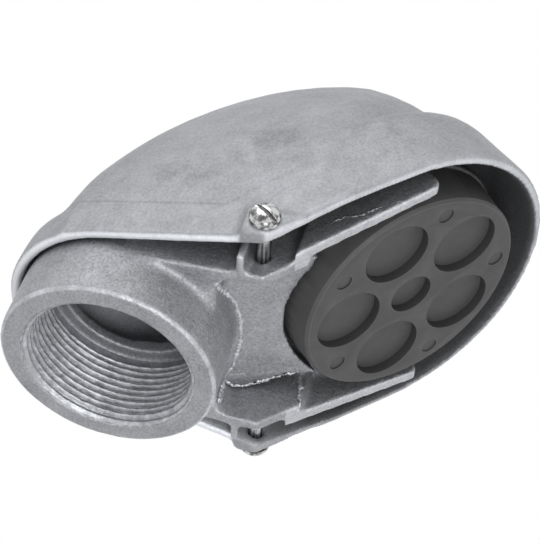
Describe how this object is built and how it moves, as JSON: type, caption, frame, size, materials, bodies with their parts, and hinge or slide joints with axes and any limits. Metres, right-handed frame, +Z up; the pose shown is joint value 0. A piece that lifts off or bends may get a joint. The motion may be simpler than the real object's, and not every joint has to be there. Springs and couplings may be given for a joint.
{
  "type": "service entrance weatherhead",
  "caption": "Cast weatherhead for the top of a conduit: threaded hub below, rounded rain hood held by side screws, and a sloping black insert with wire knockouts under it.",
  "frame": {"origin": "centre of the hub's mouth, on the conduit axis", "axes": "+Z up along the conduit into the fitting, -Y to the front where the wires leave, X across from screw to screw"},
  "size_m": [0.0988, 0.1372, 0.1129],
  "materials": {
    "cast_body": "as cast, satin",
    "cast_hood": "as cast, tumbled",
    "insert_plastic": "moulded, dull",
    "screw_zinc": "bright zinc plate"
  },
  "bodies": {
    "root": {"body_casting": "cast_body", "hood": "cast_hood", "insert": "insert_plastic", "cover_screws": "screw_zinc"}
  },
  "joints": []
}
